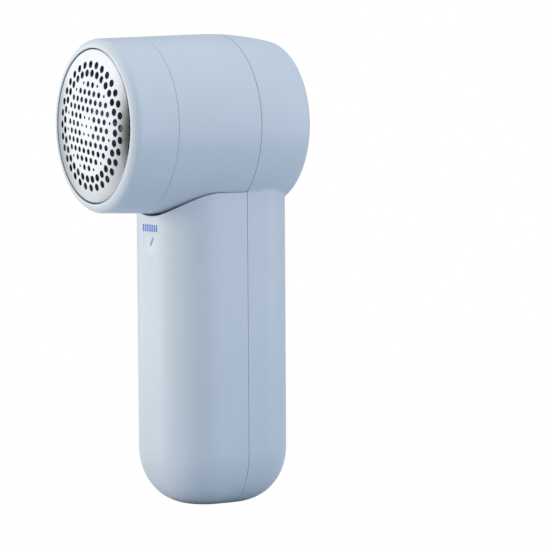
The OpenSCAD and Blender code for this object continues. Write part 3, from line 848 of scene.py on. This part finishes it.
def build_button():
    """Power button: a gently dished cap with a rounded edge, its flange and its stem."""
    outline = pill(0, 0, BUTTON_W, BUTTON_H, BUTTON_STEPS)
    levels = [(1.0, BUTTON_SKIRT), (1.0, 0.02), (0.996, 0.0), (0.98, 0.0)]
    for k in range(9):
        s = 0.9 - 0.1 * k
        levels.append((s, BUTTON_DISH * (1 - s**2)))
    levels.append((0.0, BUTTON_DISH))
    points = [
        [(s * x, -BACK_Y + depth, BUTTON_Z + s * z) for x, z in outline] for s, depth in levels
    ]
    lip = pill(0, 0, BUTTON_W + 2 * BUTTON_LIP, BUTTON_H + 2 * BUTTON_LIP, BUTTON_STEPS)
    stem = [(STEM_R * x / BUTTON_W * 2, STEM_R * z / BUTTON_H * 2) for x, z in outline]
    back = ((lip, INNER_FRONT_Y + FLANGE_GAP), (lip, FLANGE_BACK_Y), (stem, FLANGE_BACK_Y))
    back += ((stem, button_high.y), ([(0, 0)] * len(stem), button_high.y))
    points.reverse()
    points += [[(x, y, BUTTON_Z + z) for x, z in ring] for ring, y in back]
    verts, faces = [], []
    rows = add_rows(verts, points)
    join_all(faces, rows, True)
    return make("power_button_cap", verts, faces)


MARK_START = Vector((0.1, 85.4))
MARK_END = Vector((2.15, 88.2))
MARK_W = 1.05
MARK_PROUD = 0.02
MARK_SUNK = 0.2


def build_mark():
    """The plain slanted bar on the power button."""
    along = MARK_END - MARK_START
    centre = (MARK_START + MARK_END) / 2
    turn = math.atan2(along.y, along.x)
    outline = []
    for u, v in pill(0, 0, along.length, MARK_W, 8):
        x = centre.x + u * math.cos(turn) - v * math.sin(turn)
        z = centre.y + u * math.sin(turn) + v * math.cos(turn)
        outline.append((x, z))
    return prism_y("power_button_mark", outline, -BACK_Y - MARK_PROUD, -BACK_Y + MARK_SUNK)


COIL_R = 5.5
COIL_WIRE_R = 0.35
COIL_TURNS = 4
COIL_STEPS = 320
COIL_SIDES = 16
COIL_CROWDING = 0.09


def build_spring():
    """The hub spring, with its end turns flattened against their seats."""
    low, high = spring_low.y + COIL_WIRE_R, spring_high.y - COIL_WIRE_R
    verts, rows = [], []
    for i in range(COIL_STEPS + 1):
        t = i / COIL_STEPS
        a = 2 * math.pi * COIL_TURNS * t
        y = low + (high - low) * (t - COIL_CROWDING * math.sin(4 * math.pi * t) / 2)
        row = []
        for b in turns(COIL_SIDES):
            r = COIL_R + COIL_WIRE_R * math.cos(b)
            row.append((r * math.cos(a), y + COIL_WIRE_R * math.sin(b), HEAD_Z - r * math.sin(a)))
        rows += add_rows(verts, [row])
    faces = [rows[0], rows[-1]]
    join_all(faces, rows, True)
    return make("hub_spring_coil", verts, faces)


REFINE_WELD = 0.002
REFINE_FLAT = math.radians(0.5)


def refined(node, width):
    """A copy of a CAD node's mesh with its flat areas made single faces and its edges rounded."""
    source = frame["nodes"][node]
    bm = bmesh.new()
    bm.from_mesh(source.data)
    bmesh.ops.remove_doubles(bm, verts=bm.verts, dist=REFINE_WELD * MM)
    bmesh.ops.dissolve_limit(bm, angle_limit=REFINE_FLAT, verts=bm.verts, edges=bm.edges)
    bevel(bm, sharp_edges(bm), width)
    mesh = bpy.data.meshes.new(node + "_detail")
    bm.to_mesh(mesh)
    bm.free()
    return placed(mesh.name, mesh)


# ---------------------------------------------------------------- materials
def linear(value):
    """A colour channel of the record, from screen value to light."""
    return value / 12.92 if value <= 0.04045 else ((value + 0.055) / 1.055) ** 2.4


class Surface:
    """A Principled material with its nodes added one by one."""

    def __init__(self, name):
        self.material = bpy.data.materials.new(name)
        self.material.use_nodes = True
        self.nodes = self.material.node_tree.nodes
        self.links = self.material.node_tree.links
        self.shader = self.nodes["Principled BSDF"]
        self.place = self.nodes.new("ShaderNodeTexCoord").outputs["Object"]

    def link(self, output, target):
        self.links.new(output, target)

    def drive(self, name, output):
        self.link(output, self.shader.inputs[name])

    def stretched(self, scale):
        node = self.nodes.new("ShaderNodeMapping")
        node.inputs["Scale"].default_value = scale
        self.link(self.place, node.inputs["Vector"])
        return node.outputs["Vector"]

    def noise(self, scale, detail=4.0, place=None):
        node = self.nodes.new("ShaderNodeTexNoise")
        node.inputs["Scale"].default_value = scale
        node.inputs["Detail"].default_value = detail
        self.link(place or self.place, node.inputs["Vector"])
        return node.outputs["Fac"]

    def ranged(self, value, low, high, to_low, to_high):
        node = self.nodes.new("ShaderNodeMapRange")
        numbers = (low, high, to_low, to_high)
        for name, number in zip(("From Min", "From Max", "To Min", "To Max"), numbers):
            node.inputs[name].default_value = number
        self.link(value, node.inputs["Value"])
        return node.outputs["Result"]

    def spread(self, noise, to_low, to_high):
        """Stretches the middle of a noise's values over a range."""
        return self.ranged(noise, 0.3, 0.7, to_low, to_high)

    def mixed(self, factor, first, second):
        """Mixes two colours, each a colour or another node's output."""
        node = self.nodes.new("ShaderNodeMix")
        node.data_type = "RGBA"
        self.link(factor, node.inputs["Factor"])
        for colour, socket in zip((first, second), (node.inputs[6], node.inputs[7])):
            if isinstance(colour, tuple):
                socket.default_value = colour
            else:
                self.link(colour, socket)
        return node.outputs[2]

    def clouded(self, clouds, colour, tint):
        """A colour made a little darker and lighter in clouds."""
        dark, light = shade(colour, 1 - tint), shade(colour, 1 + tint)
        return self.mixed(self.spread(clouds, 0, 1), dark, light)

    def times(self, first, second):
        node = self.nodes.new("ShaderNodeMath")
        node.operation = "MULTIPLY"
        self.link(first, node.inputs[0])
        self.link(second, node.inputs[1])
        return node.outputs[0]

    def bumped(self, heights):
        """Chains bumps: heights is a list of (value, depth in millimetres)."""
        normal = None
        for value, depth in heights:
            node = self.nodes.new("ShaderNodeBump")
            node.inputs["Distance"].default_value = depth * MM
            self.link(value, node.inputs["Height"])
            if normal:
                self.link(normal, node.inputs["Normal"])
            normal = node.outputs["Normal"]
        self.link(normal, self.shader.inputs["Normal"])

    def edge_wear(self, low, high):
        """High on rubbed outer edges, broken up by noise."""
        node = self.nodes.new("ShaderNodeNewGeometry")
        edges = self.ranged(node.outputs["Pointiness"], low, high, 0.0, 1.0)
        patches = self.ranged(self.noise(240, 6), 0.42, 0.62, 0.0, 1.0)
        return self.times(edges, patches)

    def set(self, **numbers):
        for name, number in numbers.items():
            self.shader.inputs[name.replace("_", " ")].default_value = number


def shade(colour, factor):
    return tuple(min(1.0, channel * factor) for channel in colour[:3]) + (1.0,)


def moulded(name, colour, rough=0.42, grain=0.010, tint=0.03, wear=0.35, coat=0.0, specular=0.5):
    """Moulded plastic: spark-eroded grain, slight flow marks, polished wear on the edges."""
    s = Surface(name)
    clouds = s.noise(38, 5)
    speckle = s.noise(5200, 2)
    base = s.clouded(clouds, colour, tint)
    base = s.mixed(s.ranged(speckle, 0.35, 0.65, 0, 0.5), base, shade(colour, 1.08))
    worn = s.edge_wear(0.52, 0.6)
    base = s.mixed(s.ranged(worn, 0, 1, 0, wear), base, shade(colour, 1.25))
    s.drive("Base Color", base)
    smear = s.noise(160, 5)
    s.drive("Roughness", s.spread(smear, rough - 0.05, rough + 0.06))
    s.bumped([(s.noise(60, 3), 0.02), (s.noise(2600, 3), grain), (speckle, grain * 0.5)])
    s.set(Coat_Weight=coat, Coat_Roughness=0.2, Specular_IOR_Level=specular)
    return s.material


def steel(name, colour, rough=0.24, stretch=(1, 1, 1), brush=0.004, tint=0.05, wear=0.2):
    """Bare metal: brushing along one direction, fine scratches, clouded polish."""
    s = Surface(name)
    place = s.stretched(stretch)
    brushed = s.noise(900, 4, place)
    clouds = s.noise(70, 5)
    base = s.clouded(clouds, colour, tint)
    worn = s.edge_wear(0.52, 0.6)
    base = s.mixed(s.ranged(worn, 0, 1, 0, wear), base, shade(colour, 1.2))
    s.drive("Base Color", base)
    s.drive("Roughness", s.spread(brushed, rough * 0.75, rough * 1.3))
    s.bumped([(brushed, brush), (s.noise(3800, 2, place), brush * 0.5)])
    s.set(Metallic=1.0)
    return s.material


def fuzzy(name, colour, rough=0.9, sheen=0.5):
    """Pressed felt: matted fibres."""
    s = Surface(name)
    fibres = s.noise(2400, 8, s.stretched((1, 0.35, 1)))
    base = s.mixed(s.spread(fibres, 0, 1), shade(colour, 0.7), shade(colour, 1.5))
    s.drive("Base Color", base)
    s.drive("Roughness", s.spread(fibres, rough - 0.1, rough))
    s.bumped([(fibres, 0.12), (s.noise(500, 4), 0.1)])
    s.set(Sheen_Weight=sheen)
    return s.material


def wound(name, colour, rough=0.3, pitch=0.22):
    """Coils of enamelled wire, wound round the head's axis."""
    s = Surface(name)
    wave = s.nodes.new("ShaderNodeTexWave")
    wave.wave_type = "RINGS"
    wave.rings_direction = "SPHERICAL"
    wave.inputs["Scale"].default_value = 1 / (pitch * MM) / 20
    wave.inputs["Distortion"].default_value = 1.5
    s.link(s.place, wave.inputs["Vector"])
    lay = wave.outputs["Fac"]
    base = s.mixed(lay, shade(colour, 0.5), shade(colour, 1.15))
    s.drive("Base Color", base)
    s.drive("Roughness", s.spread(s.noise(400, 4), rough, rough + 0.15))
    s.bumped([(lay, 0.1)])
    s.set(Metallic=0.85, Coat_Weight=0.4)
    return s.material


def circuit(name, colour, rough=0.35):
    """Solder mask with copper tracks showing through it."""
    s = Surface(name)
    bricks = s.nodes.new("ShaderNodeTexBrick")
    bricks.inputs["Scale"].default_value = 260
    bricks.inputs["Mortar Size"].default_value = 0.06
    bricks.inputs["Mortar Smooth"].default_value = 0.1
    turned = s.nodes.new("ShaderNodeMapping")
    turned.inputs["Rotation"].default_value = (math.pi / 2, 0, 0)
    s.link(s.place, turned.inputs["Vector"])
    s.link(turned.outputs["Vector"], bricks.inputs["Vector"])
    tracks = bricks.outputs["Fac"]
    base = s.mixed(s.noise(120, 4), shade(colour, 0.8), shade(colour, 1.15))
    base = s.mixed(s.ranged(tracks, 0, 1, 0, 0.55), base, shade(colour, 1.9))
    s.drive("Base Color", base)
    s.drive("Roughness", s.spread(s.noise(700, 3), rough, rough + 0.12))
    s.bumped([(tracks, 0.05), (s.noise(900, 3), 0.01)])
    s.set(Coat_Weight=0.5)
    return s.material


FINISHES = {
    "shell_plastic": (moulded, {"rough": 0.33, "grain": 0.009, "specular": 0.8}),
    "button_plastic": (moulded, {"rough": 0.33, "grain": 0.009, "specular": 0.8}),
    "foil_steel": (steel, {"rough": 0.09, "brush": 0.0006, "tint": 0.02}),
    "blade_steel": (steel, {"rough": 0.22, "stretch": (1, 8, 1), "brush": 0.006}),
    "screw_steel": (steel, {"rough": 0.26}),
    "can_steel": (steel, {"rough": 0.3, "stretch": (1, 10, 1)}),
    "shaft_steel": (steel, {"rough": 0.16, "stretch": (1, 12, 1)}),
    "black_plastic": (moulded, {"rough": 0.5, "grain": 0.02, "tint": 0.15}),
    "inner_plastic": (moulded, {"rough": 0.42, "grain": 0.01, "tint": 0.06}),
    "cream_plastic": (moulded, {"rough": 0.36, "grain": 0.008}),
    "light_pipe": (moulded, {"rough": 0.22, "grain": 0.003, "coat": 0.3}),
    "seal_rubber": (moulded, {"rough": 0.62, "grain": 0.012, "tint": 0.2, "wear": 0.15}),
    "felt": (fuzzy, {}),
    "bush_bronze": (steel, {"rough": 0.42, "brush": 0.02}),
    "contact_brass": (steel, {"rough": 0.28}),
    "magnet_black": (moulded, {"rough": 0.55, "grain": 0.03, "tint": 0.2}),
    "copper_wire": (wound, {}),
    "board_green": (circuit, {}),
    "chip_black": (moulded, {"rough": 0.48, "grain": 0.014, "tint": 0.2}),
    "cell_wrap": (moulded, {"rough": 0.3, "grain": 0.006, "tint": 0.08, "coat": 0.3}),
    "nickel_strip": (steel, {"rough": 0.3, "stretch": (10, 1, 1)}),
    "usb_steel": (steel, {"rough": 0.25, "stretch": (1, 1, 8)}),
    "ribbon_film": (moulded, {"rough": 0.28, "grain": 0.004, "tint": 0.08, "coat": 0.3}),
    "wire_red": (moulded, {"rough": 0.4, "grain": 0.006, "tint": 0.08}),
    "wire_black": (moulded, {"rough": 0.42, "grain": 0.006, "tint": 0.15}),
}

record = frame["record"]
materials = {}
for entry in record["materials"]:
    finish, options = FINISHES[entry["slot"]]
    colour = tuple(linear(channel) for channel in entry["base_color"])
    materials[entry["slot"]] = finish(entry["slot"], colour, **options)
node_slot = {part["node"]: part["material_slot"] for part in record["subparts"]}
node_body = {node: body for body, nodes in record["behaviour"]["bodies"].items() for node in nodes}
ETCHED_COLOUR = tuple(linear(channel) for channel in (0.45, 0.47, 0.53))
MARK_COLOUR = tuple(linear(channel) for channel in (0.52, 0.55, 0.64))
etched = steel("foil_etched", ETCHED_COLOUR, rough=0.55, brush=0.002)
mark_grey = moulded("mark_grey", MARK_COLOUR, rough=0.45)


# ---------------------------------------------------------------- putting it together
def put(obj, node, angle=35.0):
    """Shades a piece, gives it its node's finish and body, and hides the node's CAD mesh."""
    smooth(obj, angle)
    weighted = obj.modifiers.new("normals", "WEIGHTED_NORMAL")
    weighted.keep_sharp = True
    weighted.weight = 100
    apply_modifiers(obj)
    slot = node_slot[node]
    obj.data.materials.clear()
    obj.data.materials.append(materials[slot])
    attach(obj, node_body[node])
    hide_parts(node)
    return obj


# A face whose normal's share along the head's axis is below this is a hole's wall
WALL_TILT = 0.85


def etch_holes(obj):
    """Gives the walls of the foil's holes their dull etched finish."""
    obj.data.materials.append(etched)
    for polygon in obj.data.polygons:
        middle = polygon.center
        inside = math.hypot(middle.x, middle.z - HEAD_Z * MM) < (DOME_EDGE_R - 1) * MM
        if inside and abs(polygon.normal.y) < WALL_TILT:
            polygon.material_index = 1


put(build_front_shell(), "front_shell")
put(build_rear_shell(), "rear_shell")
put(build_lint_bin(), "lint_bin")
put(build_foil_cap(), "foil_cap")
foil = put(build_foil(), "shaving_foil")
etch_holes(foil)
put(build_button(), "power_button")

spring = put(build_spring(), "hub_spring", 60.0)
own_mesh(spring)

mark = build_mark()
smooth(mark)
mark.data.materials.append(mark_grey)
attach(mark, "button")

ROUNDING = {
    "screw_plugs": 0.25,
    "level_light": 0.05,
    "shell_screws": 0.08,
    "foil_retainer": 0.15,
    "motor_bulkhead": 0.12,
    "bulkhead_screws": 0.08,
    "dust_seal": 0.1,
    "motor_can": 0.15,
    "motor_end_cap": 0.12,
    "motor_screws": 0.06,
    "drive_sleeve": 0.12,
    "hub_washer": 0.05,
    "hub_screw": 0.06,
    "blade_hub": 0.12,
    "shaver_blades": 0.03,
    "tact_switch": 0.08,
    "switch_plunger": 0.1,
    "switch_board": 0.05,
    "switch_board_screws": 0.05,
    "control_board": 0.05,
    "charger_chip": 0.06,
    "board_coil": 0.15,
    "board_capacitors": 0.06,
    "usb_socket": 0.05,
    "usb_tongue": 0.05,
    "battery_cell": 0.4,
    "battery_cradle": 0.2,
    "battery_tabs": 0.03,
    "motor_armature": 0.06,
    "motor_windings": 0.3,
    "motor_commutator": 0.05,
    "motor_magnets": 0.15,
    "motor_bush": 0.05,
    "motor_shaft": 0.08,
    "motor_terminals": 0.05,
}
for node, width in ROUNDING.items():
    put(refined(node, width), node)
for node in node_slot:
    cad = frame["nodes"][node]
    cad.data.materials.clear()
    cad.data.materials.append(materials[node_slot[node]])


# ---------------------------------------------------------------- floor, light and camera
FLOOR_SIDES = 96
FLOOR_RINGS = (0.1, 0.2, 0.3, 0.45)
FLOOR_PALE = ((0.53, 0.58, 0.64, 1), (0.57, 0.62, 0.68, 1))
FLOOR_SHINE = 0.985


def build_floor():
    """A pale round floor, its rings in metres, which the camera sees as nearly plain white."""
    verts = [(0, 0, 0)]
    rows = [[0]]
    for r in FLOOR_RINGS:
        ring = [(r * math.cos(a) / MM, r * math.sin(a) / MM, 0) for a in turns(FLOOR_SIDES)]
        rows += add_rows(verts, [ring])
    faces = []
    join_all(faces, rows, True)
    floor = make("floor", verts, faces)
    s = Surface("floor_paper")
    base = s.mixed(s.noise(3, 4), *FLOOR_PALE)
    s.drive("Base Color", base)
    s.drive("Roughness", s.spread(s.noise(40, 3), 0.75, 0.9))
    s.set(Specular_IOR_Level=0.1)
    seen = s.nodes.new("ShaderNodeLightPath").outputs["Is Camera Ray"]
    glow = s.nodes.new("ShaderNodeEmission")
    both = s.nodes.new("ShaderNodeMixShader")
    s.link(s.ranged(seen, 0, 1, 0, FLOOR_SHINE), both.inputs[0])
    s.link(s.shader.outputs[0], both.inputs[1])
    s.link(glow.outputs[0], both.inputs[2])
    s.link(both.outputs[0], s.nodes["Material Output"].inputs["Surface"])
    floor.data.materials.append(s.material)


build_floor()

scene = bpy.context.scene
scene.view_settings.view_transform = "Standard"

# Soft patches of the studio's surroundings: azimuth (0 is in front of the foil, +90 beside the
# handle's +X face), height, the angles at which the patch is full and gone, and its brightness
AROUND = 0.555
AROUND_COLOUR = (0.99, 1.02, 1.03, 1)
PATCHES = (
    (-62.0, 6.0, 12.0, 28.0, 0.8),
    (0.0, 90.0, 15.0, 70.0, 0.76),
    (125.0, 8.0, 15.0, 70.0, 0.82),
)
DARK_PATCH = (-21.0, -5.0, 16.0, 25.0, 0.03)


def direction(azimuth, height):
    a, e = math.radians(azimuth), math.radians(height)
    return Vector((math.sin(a) * math.cos(e), -math.cos(a) * math.cos(e), math.sin(e)))


def build_studio():
    """Even surroundings with soft bright patches and a dark one; the camera sees plain white."""
    world = bpy.data.worlds.new("studio")
    world.use_nodes = True
    scene.world = world
    nodes, links = world.node_tree.nodes, world.node_tree.links
    place = nodes.new("ShaderNodeTexCoord").outputs["Generated"]

    def patch(azimuth, height, full, gone, inside, outside):
        toward = nodes.new("ShaderNodeVectorMath")
        toward.operation = "DOT_PRODUCT"
        toward.inputs[1].default_value = direction(azimuth, height)
        links.new(place, toward.inputs[0])
        angle = nodes.new("ShaderNodeMath")
        angle.operation = "ARCCOSINE"
        links.new(toward.outputs["Value"], angle.inputs[0])
        level = nodes.new("ShaderNodeMapRange")
        level.interpolation_type = "SMOOTHERSTEP"
        numbers = (math.radians(full), math.radians(gone), inside, outside)
        for name, number in zip(("From Min", "From Max", "To Min", "To Max"), numbers):
            level.inputs[name].default_value = number
        links.new(angle.outputs[0], level.inputs["Value"])
        return level.outputs["Result"]

    def joined(operation, first, second):
        node = nodes.new("ShaderNodeMath")
        node.operation = operation
        links.new(first, node.inputs[0])
        links.new(second, node.inputs[1])
        return node.outputs[0]

    def glow(colour, strength=None):
        node = nodes.new("ShaderNodeBackground")
        node.inputs["Color"].default_value = colour
        if strength:
            links.new(strength, node.inputs["Strength"])
        return node.outputs[0]

    total = None
    for *where, level in PATCHES:
        floor = AROUND if total is None else 0.0
        part = patch(*where, floor + level, floor)
        total = part if total is None else joined("ADD", total, part)
    total = joined("MULTIPLY", total, patch(*DARK_PATCH, 1.0))
    shown = nodes.new("ShaderNodeMixShader")
    links.new(nodes.new("ShaderNodeLightPath").outputs["Is Camera Ray"], shown.inputs[0])
    links.new(glow(AROUND_COLOUR, total), shown.inputs[1])
    links.new(glow((1, 1, 1, 1)), shown.inputs[2])
    links.new(shown.outputs[0], nodes["World Output"].inputs["Surface"])
    nodes.remove(nodes["Background"])


build_studio()

# Warm soft box low in front of the foil, kept out of the steel's reflections
MIDDLE = Vector((0.0, -0.012, 0.085))
KEY_TOWARD = direction(-26.0, -3.0)
KEY_DISTANCE = 0.8
KEY_SIZE = 0.45
KEY_WATTS = 6.9
KEY_COLOUR = (1.14, 0.97, 0.74)


def build_key():
    light = bpy.data.lights.new("key", "AREA")
    light.size = KEY_SIZE
    light.energy = KEY_WATTS
    light.color = KEY_COLOUR
    obj = placed("key", light)
    turn = KEY_TOWARD.to_track_quat("Z", "Y").to_matrix().to_4x4()
    obj.matrix_world = Matrix.Translation(MIDDLE + KEY_TOWARD * KEY_DISTANCE) @ turn
    obj.visible_camera = False
    obj.visible_glossy = False


build_key()

# A faint light between the foil and the hub gives the inside the navy that shows in the holes
GLOW_PLACE = Vector((0.0, -43.2, HEAD_Z + 4.6))
GLOW_WATTS = 0.0013


def build_inner_glow():
    light = bpy.data.lights.new("inner_glow", "POINT")
    light.energy = GLOW_WATTS
    light.color = (0.42, 0.58, 1.0)
    light.shadow_soft_size = 1.2 * MM
    obj = placed("inner_glow", light)
    obj.location = GLOW_PLACE * MM
    obj.visible_camera = False
    obj.visible_glossy = False


build_inner_glow()

# The photograph's viewpoint, from a perspective fit of the outline, in millimetres and degrees
CAMERA_TURN = math.radians(58.404)
CAMERA_PITCH = math.radians(4.388)
CAMERA_ROLL = math.radians(-0.34)
CAMERA_DISTANCE = 919.32
CAMERA_AIM = Vector((0, -23.6, 94.5))
CAMERA_SLIDE = Vector((-41.349, 18.742))
SENSOR_MM = 36.0
PIXELS = 551
FOCAL_PIXELS = 3.083 * CAMERA_DISTANCE


def build_camera():
    turn, pitch, roll = CAMERA_TURN, CAMERA_PITCH, CAMERA_ROLL
    ahead = Vector(
        (-math.sin(turn) * math.cos(pitch), math.cos(turn) * math.cos(pitch), -math.sin(pitch))
    )
    right = Vector((math.cos(turn), math.sin(turn), 0))
    up = right.cross(ahead)
    tilted_right = right * math.cos(roll) + up * math.sin(roll)
    tilted_up = -right * math.sin(roll) + up * math.cos(roll)
    place = CAMERA_AIM - CAMERA_DISTANCE * ahead
    place -= CAMERA_SLIDE.x * tilted_right + CAMERA_SLIDE.y * tilted_up
    data = bpy.data.cameras.new("camera")
    data.sensor_width = SENSOR_MM
    data.sensor_fit = "HORIZONTAL"
    data.lens = FOCAL_PIXELS / PIXELS * SENSOR_MM
    camera = placed("camera", data)
    turned = Matrix((tilted_right, tilted_up, -ahead)).transposed()
    camera.matrix_world = Matrix.Translation(place * MM) @ turned.to_4x4()
    scene.camera = camera


build_camera()
